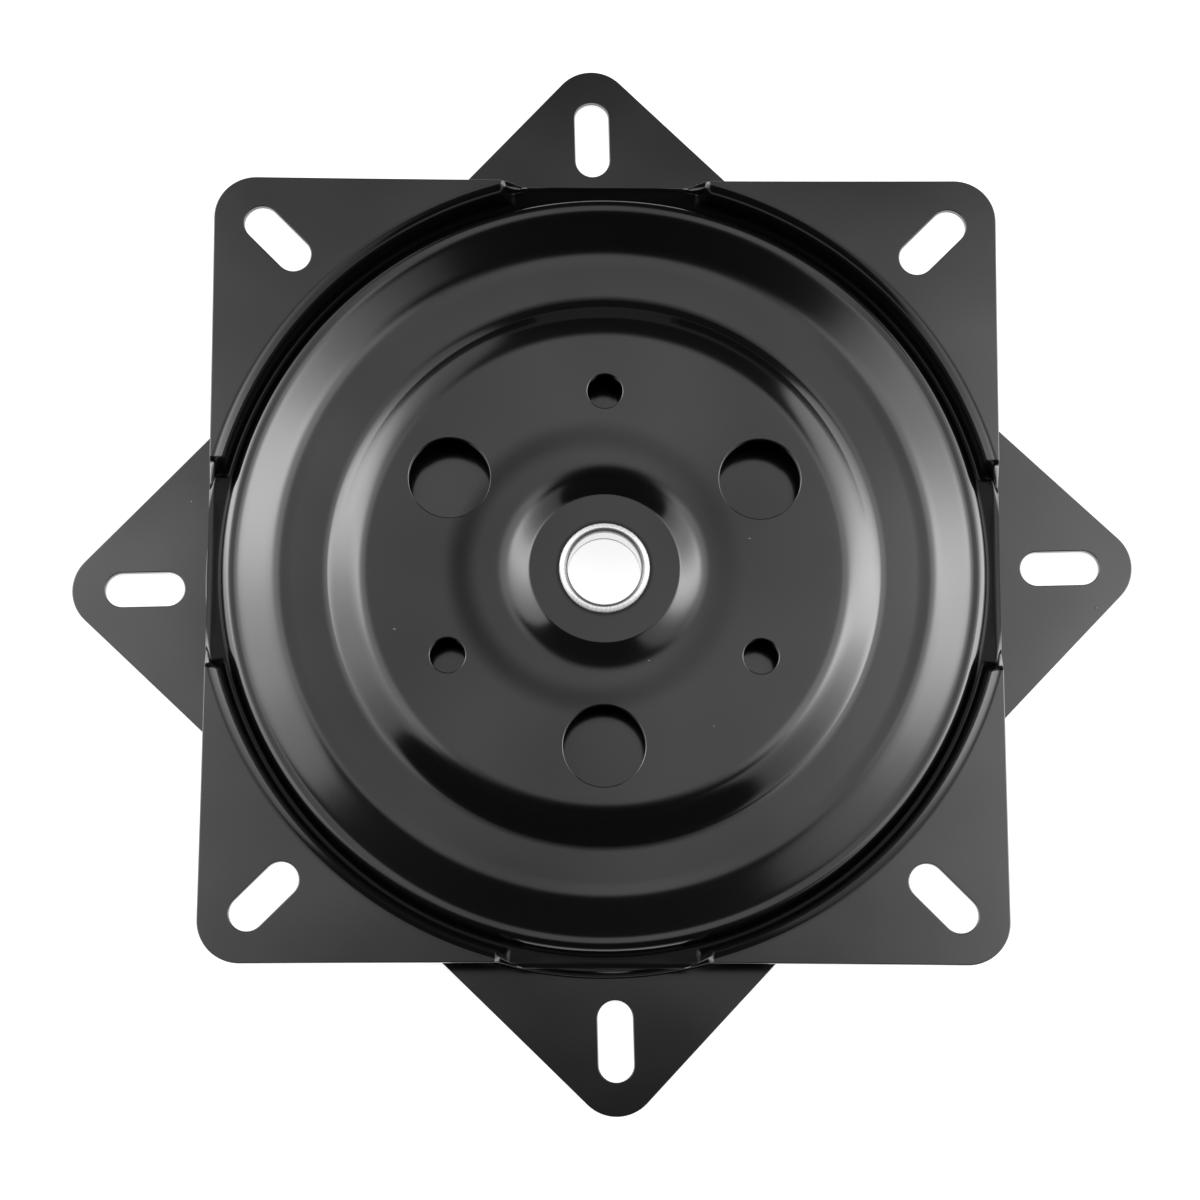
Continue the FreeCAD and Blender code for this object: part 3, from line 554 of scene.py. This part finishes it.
def rim_normals(angle, share, face):
    """Normals of the rim's upper or under face, from differences."""
    step_angle = 2e-5
    step_share = 2e-4
    low = np.clip(share - step_share, 0, 1)
    high = np.clip(share + step_share, 0, 1)
    out = rim_surface(angle, high, face) - rim_surface(angle, low, face)
    around = rim_surface(angle + step_angle, share, face) - rim_surface(angle - step_angle, share, face)
    normal = np.cross(out, around)
    normal /= np.linalg.norm(normal, axis=-1, keepdims=True)
    if face:
        return -normal
    # The end of the window is rolled a little outwards where it meets the side
    openness = window_share(angle, share)
    within_end = smooth(ROLL_SPREAD * openness * (1 - openness))
    rolled = (smooth((share - ROLL_BEGINS) / ROLL_RUN) * within_end)[..., None]
    normal = (1 - rolled) * normal + rolled * np.array((math.sin(ROLL), 0.0, math.cos(ROLL)))
    return normal / np.linalg.norm(normal, axis=-1, keepdims=True)


def turned_about_z(points, angle):
    c = math.cos(angle)
    s = math.sin(angle)
    return points @ np.array(((c, s, 0), (-s, c, 0), (0, 0, 1)))


class Skin:
    """Vertices, normals and faces of one closed skin."""

    def __init__(self):
        self.points = []
        self.normals = []
        self.faces = []
        self.count = 0

    def add(self, points, normals):
        points = np.asarray(points, float).reshape(-1, 3)
        normals = np.asarray(normals, float).reshape(-1, 3)
        self.points.append(points)
        self.normals.append(normals)
        first = self.count
        self.count += len(points)
        return first

    def grid(self, points, normals, closed, under=False):
        """Rows run outwards and columns run round, counter-clockwise."""
        rows, columns = points.shape[:2]
        first = self.add(points, normals)
        index = first + np.arange(rows * columns).reshape(rows, columns)
        if closed:
            index = np.concatenate((index, index[:, :1]), axis=1)
        quads = np.stack((index[:-1, :-1], index[1:, :-1], index[1:, 1:], index[:-1, 1:]), axis=-1)
        quads = quads.reshape(-1, 4)
        if under:
            quads = quads[:, ::-1]
        self.faces.extend(quads.tolist())

    def flat(self, loops, z, under=False):
        """A level face with holes: the first loop is its outline."""
        flat_loops = [[Vector((x, y, 0)) for x, y in loop] for loop in loops]
        points = np.array([(x, y, z) for loop in loops for x, y in loop])
        up = np.zeros_like(points)
        up[:, 2] = -1 if under else 1
        first = self.add(points, up)
        for a, b, c in geometry.tessellate_polygon(flat_loops):
            area = np.cross(points[b, :2] - points[a, :2], points[c, :2] - points[a, :2])
            if (area < 0) != under:
                b, c = c, b
            self.faces.append([first + a, first + b, first + c])

    def cut_edge(self, top, top_normal, under, under_normal, outward):
        """The sheared edge between the upper and under faces along a closed loop that keeps the metal on
        its left. The points are where the rounding of the edge begins."""
        rows = []
        normals = []
        for points, normal, order in ((top, top_normal, 1), (under, under_normal, -1)):
            away = outward - np.sum(outward * normal, axis=1, keepdims=True) * normal
            away /= np.linalg.norm(away, axis=1, keepdims=True)
            steps = range(EDGE_STEPS + 1)[::order]
            for step in steps:
                turn = math.pi / 2 * step / EDGE_STEPS
                rows.append(points + EDGE * (math.sin(turn) * away - (1 - math.cos(turn)) * normal))
                normals.append(math.cos(turn) * normal + math.sin(turn) * away)
        self.grid(np.array(rows), np.array(normals), closed=True)

    def mesh(self, name, place):
        """The skin as a mesh, placed and in metres, with its own normals."""
        points = np.concatenate(self.points)
        normals = np.concatenate(self.normals)
        turn = np.array(place.to_3x3())
        points = (points @ turn.T + np.array(place.translation)) * MM
        normals = normals @ turn.T
        key = np.concatenate((np.round(points * PLACE_KEYS), np.round(normals * NORMAL_KEYS)), axis=1)
        _, kept, merged = np.unique(key, axis=0, return_index=True, return_inverse=True)
        merged = merged.reshape(-1)
        faces = []
        for face in self.faces:
            corners = []
            for corner in face:
                index = int(merged[corner])
                if index not in corners:
                    corners.append(index)
            if len(corners) > 2:
                faces.append(corners)
        mesh = bpy.data.meshes.new(name)
        mesh.from_pydata(points[kept].tolist(), [], faces)
        mesh.polygons.foreach_set("use_smooth", [True] * len(faces))
        mesh.normals_split_custom_set_from_vertices(normals[kept].tolist())
        mesh.update()
        return mesh


def circle_loop(x, y, radius, count):
    """A clockwise circle and its directions towards the middle."""
    angle = -2 * math.pi * np.arange(count) / count
    unit = np.stack((np.cos(angle), np.sin(angle)), axis=1)
    return np.array((x, y)) + radius * unit, -unit


def slot_loop(turn):
    """A clockwise slot outline, where its edge's rounding begins, and its directions inwards."""
    radius = SLOT_RADIUS + EDGE
    points = []
    inwards = []
    for end, begin in ((1, math.pi / 2), (-1, -math.pi / 2)):
        for step in range(SLOT_STEPS + 1):
            angle = begin - math.pi * step / SLOT_STEPS
            unit = np.array((math.cos(angle), math.sin(angle)))
            points.append(np.array((SLOT_PLACE + end * SLOT_HALF_RUN, 0)) + radius * unit)
            inwards.append(-unit)
    rotation = np.array(((math.cos(turn), math.sin(turn)), (-math.sin(turn), math.cos(turn))))
    return np.array(points) @ rotation, np.array(inwards) @ rotation


def raised(loop, z):
    return np.concatenate((loop, np.full((len(loop), 1), z)), axis=1)


def tab_outline():
    """Half a tab's outline in a side's frame, from where the columns stop to the corner's middle:
    points, where the edge's rounding begins, and outward directions."""
    radius = (2 * HALF_SIDE ** 2 + SIDE_BOW ** 2) / (2 * SIDE_BOW)
    centre_x = HALF_SIDE - SIDE_BOW + radius
    low = 0.0
    high = HALF_SIDE
    for _ in range(60):
        middle = (low + high) / 2
        if math.hypot(centre_x - middle, middle) > radius + CORNER_ROUND:
            low = middle
        else:
            high = middle
    away = np.array((centre_x - middle, -middle)) / math.hypot(centre_x - middle, middle)
    tangent = np.array((middle, middle)) + (CORNER_ROUND - EDGE) * away
    crossing = TAB_START * math.sin(CROSSING)
    heights = np.linspace(crossing, tangent[1], SIDE_STEPS)
    points = [np.array((side_line(y, EDGE), y)) for y in heights[:-1]]
    outward = [np.array((math.sqrt(1 - (y / radius) ** 2), -y / radius)) for y in heights[:-1]]
    first = math.atan2(away[1], away[0])
    for step in range(CORNER_STEPS + 1):
        angle = first + (math.pi / 4 - first) * step / CORNER_STEPS
        unit = np.array((math.cos(angle), math.sin(angle)))
        points.append(np.array((middle, middle)) + (CORNER_ROUND - EDGE) * unit)
        outward.append(unit)
    return np.array(points), np.array(outward)


def crossing_angle():
    """Where the side's edge leaves the columns' outer circle."""
    low = 0.0
    high = math.pi / 4
    for _ in range(60):
        middle = (low + high) / 2
        if side_radius(middle, EDGE) < TAB_START:
            low = middle
        else:
            high = middle
    return middle


CROSSING = crossing_angle()


def half_side_angles():
    """Column angles from a side's middle to the corner, closer together over the window's end."""
    ramp_low = math.atan((RAMP_END - OUTER_END_LATER) / HALF_SIDE)
    ramp_high = max(math.atan(RAMP_START / HALF_SIDE), CROSSING) + 1e-6
    parts = []
    for low, high, step in ((0, ramp_low, COARSE_STEP), (ramp_low, CROSSING, FINE_STEP),
                            (CROSSING, ramp_high, FINE_STEP), (ramp_high, math.pi / 4, COARSE_STEP)):
        count = max(1, math.ceil((high - low) / step))
        parts.append(np.linspace(low, high, count, endpoint=False))
    return np.concatenate(parts)


def plate_skin(name, place, with_holes):
    """The skin of one pressed plate."""
    skin = Skin()
    half = half_side_angles()
    # Angles of one side's columns, from its middle's own direction, corner to corner
    side_angles = np.concatenate((-np.array([math.pi / 4]), -half[:0:-1], half))
    columns = np.concatenate([side_angles + math.pi / 2 * side for side in range(4)])
    cos = np.cos(columns)
    sin = np.sin(columns)

    def revolved(low, high):
        """The upper and under faces between two lengths along the section."""
        for face, marks in enumerate((upper_marks, under_marks)):
            along = np.array([low, *(mark for mark in marks if low < mark < high), high])
            r, z, heading = trace(SECTION, np.clip(along - 1e-9, 0, None))
            soft = soft_heading(SECTION, along)
            rr = (r + face * SHEET * np.sin(heading))[:, None]
            zz = (z - face * SHEET * np.cos(heading))[:, None]
            points = np.stack((rr * cos, rr * sin, zz + 0 * cos), axis=-1)
            way = -1 if face else 1
            nr = (-np.sin(soft))[:, None] * way
            nz = np.cos(soft)[:, None] * way
            normals = np.stack((nr * cos, nr * sin, nz + 0 * cos), axis=-1)
            skin.grid(points, normals, closed=True, under=bool(face))

    # Sunk middle and boss, then the rings outside the disc's flat, up to the groove's middle
    revolved(0.0, SOFT_START)
    revolved(SOFT_END, GROOVE_LENGTH)

    # Centre hole
    bottom = np.stack((cos, sin), axis=1)[::-1]
    ring = raised(bottom * (RIVET_HOLE + EDGE), FLOOR_Z)
    up = np.tile((0.0, 0.0, 1.0), (len(ring), 1))
    below = raised(bottom * (RIVET_HOLE + EDGE), FLOOR_Z - SHEET)
    skin.cut_edge(ring, up, below, -up, raised(-bottom, 0.0))

    # Disc, with its holes
    unit = np.stack((cos, sin), axis=1)
    holes = []
    if with_holes:
        for turn in range(3):
            for start, radius, count in ((-math.pi / 2, ACCESS_RADIUS, ACCESS_STEPS),
                                         (math.pi / 2, SCREW_RADIUS, SCREW_STEPS)):
                angle = start + 2 * math.pi / 3 * turn
                holes.append(circle_loop(HOLE_PLACE * math.cos(angle), HOLE_PLACE * math.sin(angle),
                                         radius + EDGE, count))
    for z, under in ((DISC_Z, False), (DISC_Z - SHEET, True)):
        loops = [unit * DISC_SOFT_OUTER, unit * DISC_SOFT_INNER] + [loop for loop, _ in holes]
        skin.flat(loops, z, under)
    for loop, inwards in holes:
        up = np.tile((0.0, 0.0, 1.0), (len(loop), 1))
        skin.cut_edge(raised(loop, DISC_Z), up, raised(loop, DISC_Z - SHEET), -up, raised(inwards, 0.0))

    # Rim, window floors and tabs' inner edges
    share = stations(RIM[:-1] + [(*RIM[-1][:2], TAB_MARGIN, 0.0, 1)]) / RIM_REACH
    local = np.tile(side_angles, (len(share), 1))
    shares = np.tile(share[:, None], (1, len(side_angles)))
    faces = []
    for face in (0, 1):
        points = rim_surface(local, shares, face)
        normals = rim_normals(local, shares, face)
        around = [turned_about_z(points, math.pi / 2 * side) for side in range(4)]
        around_normals = [turned_about_z(normals, math.pi / 2 * side) for side in range(4)]
        skin.grid(np.concatenate(around, axis=1), np.concatenate(around_normals, axis=1), closed=True,
                  under=bool(face))
        faces.append((points[-1], normals[-1]))

    # Outline: the columns' ends over a window, then the tabs' sides and corners
    outline, outward = tab_outline()
    mirrored = outline[::-1] * (1, -1)
    mirrored_outward = outward[::-1] * (1, -1)
    near = np.abs(side_angles) < CROSSING - 1e-9
    up = np.array((0.0, 0.0, 1.0))
    top, top_normal = faces[0]
    below, below_normal = faces[1]
    under_z = TAB_Z - SHEET
    window_out = np.tile((1.0, 0.0, 0.0), (int(near.sum()), 1))
    up_before = np.tile(up, (len(outline) - 1, 1))
    up_after = np.tile(up, (len(outline), 1))
    one_side = [
        np.concatenate((raised(mirrored[1:], TAB_Z), top[near], raised(outline, TAB_Z))),
        np.concatenate((up_before, top_normal[near], up_after)),
        np.concatenate((raised(mirrored[1:], under_z), below[near], raised(outline, under_z))),
        np.concatenate((-up_before, below_normal[near], -up_after)),
        np.concatenate((raised(mirrored_outward[1:], 0.0), window_out, raised(outward, 0.0))),
    ]
    turns = [math.pi / 2 * side for side in range(4)]
    skin.cut_edge(*(np.concatenate([turned_about_z(part, turn) for turn in turns]) for part in one_side))

    # Tabs
    far = side_angles >= CROSSING - 1e-9
    before = side_angles <= -CROSSING + 1e-9
    angles = np.concatenate((side_angles[far], side_angles[before] + math.pi / 2))
    arc = TAB_START * np.stack((np.cos(angles), np.sin(angles)), axis=1)
    corner = np.concatenate((outline, outline[-2::-1, ::-1]))
    tab_loop = np.concatenate((corner[1:-1], arc[::-1]))
    slot_line, slot_inwards = slot_loop(math.pi / 4)
    up_slot = np.tile(up, (len(slot_line), 1))
    for turn in turns:
        rotation = np.array(((math.cos(turn), math.sin(turn)), (-math.sin(turn), math.cos(turn))))
        slot = slot_line @ rotation
        for z, under in ((TAB_Z, False), (under_z, True)):
            skin.flat([tab_loop @ rotation, slot], z, under)
        skin.cut_edge(raised(slot, TAB_Z), up_slot, raised(slot, under_z), -up_slot,
                      raised(slot_inwards @ rotation, 0.0))
    return skin.mesh(name, place)


LIFT = Matrix.Translation((0, 0, HEIGHT / 2))
upper_place = LIFT @ Matrix.Rotation(REST_TURN, 4, "Z")
lower_place = LIFT @ Matrix.Rotation(CORNER_TURN, 4, "Z") @ Matrix.Rotation(math.pi, 4, "X")
for name, place, with_holes, body in (("upper_plate", upper_place, True, "upper"),
                                      ("lower_plate", lower_place, False, "lower")):
    mesh = plate_skin(name + "_skin", place, with_holes)
    mesh.materials.append(black)
    skin_object = bpy.data.objects.new(name + "_skin", mesh)
    bpy.context.scene.collection.objects.link(skin_object)
    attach(skin_object, body)
    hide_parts(name)

# Camera, at the photograph's place

LENS = 87.26
EYE = Vector((-12.72, -117.38, 665.66)) / 1000
LOOK = Vector((0.017464, 0.166976, -0.985806)).normalized()
UP = Vector((0.023224, 0.985623, 0.167356)).normalized()
camera_right = LOOK.cross(UP).normalized()
camera_up = camera_right.cross(LOOK).normalized()
camera_data = bpy.data.cameras.new("camera")
camera_data.lens = LENS
camera_data.sensor_width = 36
camera = bpy.data.objects.new("camera", camera_data)
bpy.context.scene.collection.objects.link(camera)
camera_turn = Matrix((camera_right, camera_up, -LOOK)).transposed()
camera.matrix_world = Matrix.Translation(EYE) @ camera_turn.to_4x4()
bpy.context.scene.camera = camera

# Light: a studio with a tall soft panel at each side, brightest in its middle, a dim one overhead and
# dark gaps in front and behind. Bearings are in degrees from +X, anticlockwise.

PANELS = [
    (-180, 1.9), (-171, 1.65), (-161, 1.1), (-152, 0.75), (-149, 0.012), (-50, 0.012), (-47, 0.42),
    (-31, 0.75), (-19, 1.4), (-10, 2.5), (-2, 4.1), (7, 4.6), (15, 4.2), (22, 3.3), (31, 2.3), (40, 1.6),
    (49, 1.1), (52, 0.012), (106, 0.012), (110, 0.45), (122, 0.65), (130, 1.2), (138, 2.8), (146, 4.0),
    (155, 4.6), (163, 3.8), (171, 2.7), (180, 1.9),
]
BRIGHTEST = 5.0
# The overhead light, at the middle and added per step aside between two places, and where it ends in
# front and behind; places in the studio are parts of its radius
OVERHEAD = 0.57
OVERHEAD_ASIDE = 11.0
ASIDE_BEGINS = 0.1
ASIDE_REACH = 0.075
FRONT_END = (-0.03, 0.1)
FRONT_END_LEAN = 0.6
FRONT_END_STRAIGHT = 0.05
BACK_END = (0.28, 0.42)
BACK_LEVEL = 0.02
OVERHEAD_ENDS = (0.26, 0.42)
# A faint light low in front and behind, for views from the side
LOW_FRONT = 0.5
LOW_BEHIND = 0.08
LOW_BEHIND_BEGINS = (0.04, 0.14)
LOW_ENDS = (0.26, 0.38)

world = bpy.data.worlds.new("world")
bpy.context.scene.world = world
world.use_nodes = True
nodes = Nodes(world.node_tree)
calculate = nodes.calculate
x, y, z = nodes.apart(nodes.add("TexCoord").outputs["Generated"])
bearing = calculate("MULTIPLY_ADD", calculate("ARCTAN2", y, x), 1 / (2 * math.pi), 0.5)
ramp = nodes.add("ValToRGB")
stops = ramp.color_ramp.elements
while len(stops) > 1:
    stops.remove(stops[-1])
stops[0].position = 0
for number, (degrees, level) in enumerate(PANELS):
    stop = stops[0] if number == 0 else stops.new(degrees / 360 + 0.5)
    stop.color = (level / BRIGHTEST, level / BRIGHTEST, level / BRIGHTEST, 1)
nodes.link(bearing, ramp.inputs["Fac"])
sides = calculate("MULTIPLY", ramp.outputs["Color"], BRIGHTEST)
low_behind = calculate("MULTIPLY", calculate("GREATER_THAN", y, 0.0),
                       nodes.blend(z, *LOW_BEHIND_BEGINS, 0.0, LOW_BEHIND))
low_front = calculate("MULTIPLY", calculate("LESS_THAN", y, 0.0), LOW_FRONT)
low = calculate("MULTIPLY", calculate("ADD", low_behind, low_front), nodes.blend(z, *LOW_ENDS, 1.0, 0.0))
sides = calculate("MAXIMUM", sides, low)
out_x = calculate("ABSOLUTE", x)
aside = calculate("MAXIMUM", calculate("SUBTRACT", out_x, ASIDE_BEGINS), 0.0)
aside = calculate("MINIMUM", aside, ASIDE_REACH)
overhead = calculate("MULTIPLY_ADD", aside, OVERHEAD_ASIDE, OVERHEAD)
leaning = calculate("MAXIMUM", calculate("SUBTRACT", out_x, FRONT_END_STRAIGHT), 0.0)
front = calculate("MULTIPLY_ADD", leaning, FRONT_END_LEAN, y)
overhead = calculate("MULTIPLY", overhead, nodes.blend(front, *FRONT_END))
overhead = calculate("MULTIPLY", overhead, nodes.blend(y, *BACK_END, 1.0, BACK_LEVEL))
beside = nodes.blend(nodes.length(x, y), *OVERHEAD_ENDS)
studio = calculate("MULTIPLY_ADD", calculate("SUBTRACT", sides, overhead), beside, overhead)
# The camera sees a white backdrop
seen = nodes.add("LightPath").outputs["Is Camera Ray"]
lit = calculate("MAXIMUM", calculate("MULTIPLY", studio, calculate("SUBTRACT", 1.0, seen)), seen)
background = world.node_tree.nodes["Background"]
background.inputs["Color"].default_value = (1, 1, 1, 1)
nodes.link(lit, background.inputs["Strength"])

# Floor

FLOOR_HALF = 3.0
FLOOR_DROP = 0.0002
FLOOR_GREY = 0.35
FLOOR_WHITE = 0.88

floor_mesh = bpy.data.meshes.new("floor")
floor_corners = [(x * FLOOR_HALF, y * FLOOR_HALF, 0) for x, y in ((-1, -1), (1, -1), (1, 1), (-1, 1))]
floor_mesh.from_pydata(floor_corners, [], [(0, 1, 2, 3)])
floor = bpy.data.objects.new("floor", floor_mesh)
floor.location.z = -FLOOR_DROP
bpy.context.scene.collection.objects.link(floor)
floor_material, nodes, shader, _ = new_material("floor_white")
shader.inputs["Base Color"].default_value = (FLOOR_GREY, FLOOR_GREY, FLOOR_GREY, 1)
shader.inputs["Roughness"].default_value = 1
shader.inputs["Specular IOR Level"].default_value = 0
shader.inputs["Emission Color"].default_value = (1, 1, 1, 1)
path = nodes.add("LightPath")
seen = nodes.calculate("MAXIMUM", path.outputs["Is Camera Ray"], path.outputs["Is Glossy Ray"])
nodes.link(nodes.calculate("MULTIPLY", seen, FLOOR_WHITE), shader.inputs["Emission Strength"])
floor_mesh.materials.append(floor_material)

bpy.context.scene.view_settings.view_transform = "Standard"
